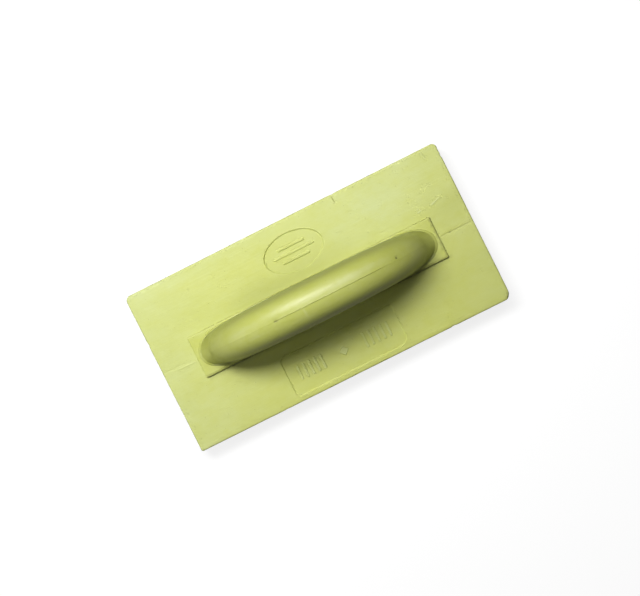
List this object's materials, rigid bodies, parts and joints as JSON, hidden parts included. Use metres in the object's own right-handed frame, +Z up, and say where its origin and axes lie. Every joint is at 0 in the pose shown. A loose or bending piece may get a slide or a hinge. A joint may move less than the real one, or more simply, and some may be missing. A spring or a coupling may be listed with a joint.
{
  "type": "grout float",
  "caption": "Hand grout float: a yellow-green polyurethane plate with a bow handle let into its top and a gum-rubber working face.",
  "frame": {"origin": "centre of the rubber sole's working face, which is the lowest face", "axes": "+X along the plate's length and the handle, +Y across the width towards the oval recess, +Z up through the handle"},
  "size_m": [0.28, 0.14, 0.085],
  "materials": {
    "polyurethane_plate": "satin, mottled, lightly scratched",
    "polyurethane_handle": "satin, a little glossier than the plate, scuffed along its crest",
    "gum_rubber": "matte",
    "adhesive": "satin",
    "screw_steel": "zinc plated"
  },
  "bodies": {
    "root": {"float_plate": "polyurethane_plate", "handle": "polyurethane_handle", "rubber_sole": "gum_rubber", "sole_adhesive": "adhesive", "handle_adhesive": "adhesive", "handle_screws": "screw_steel"}
  },
  "joints": []
}
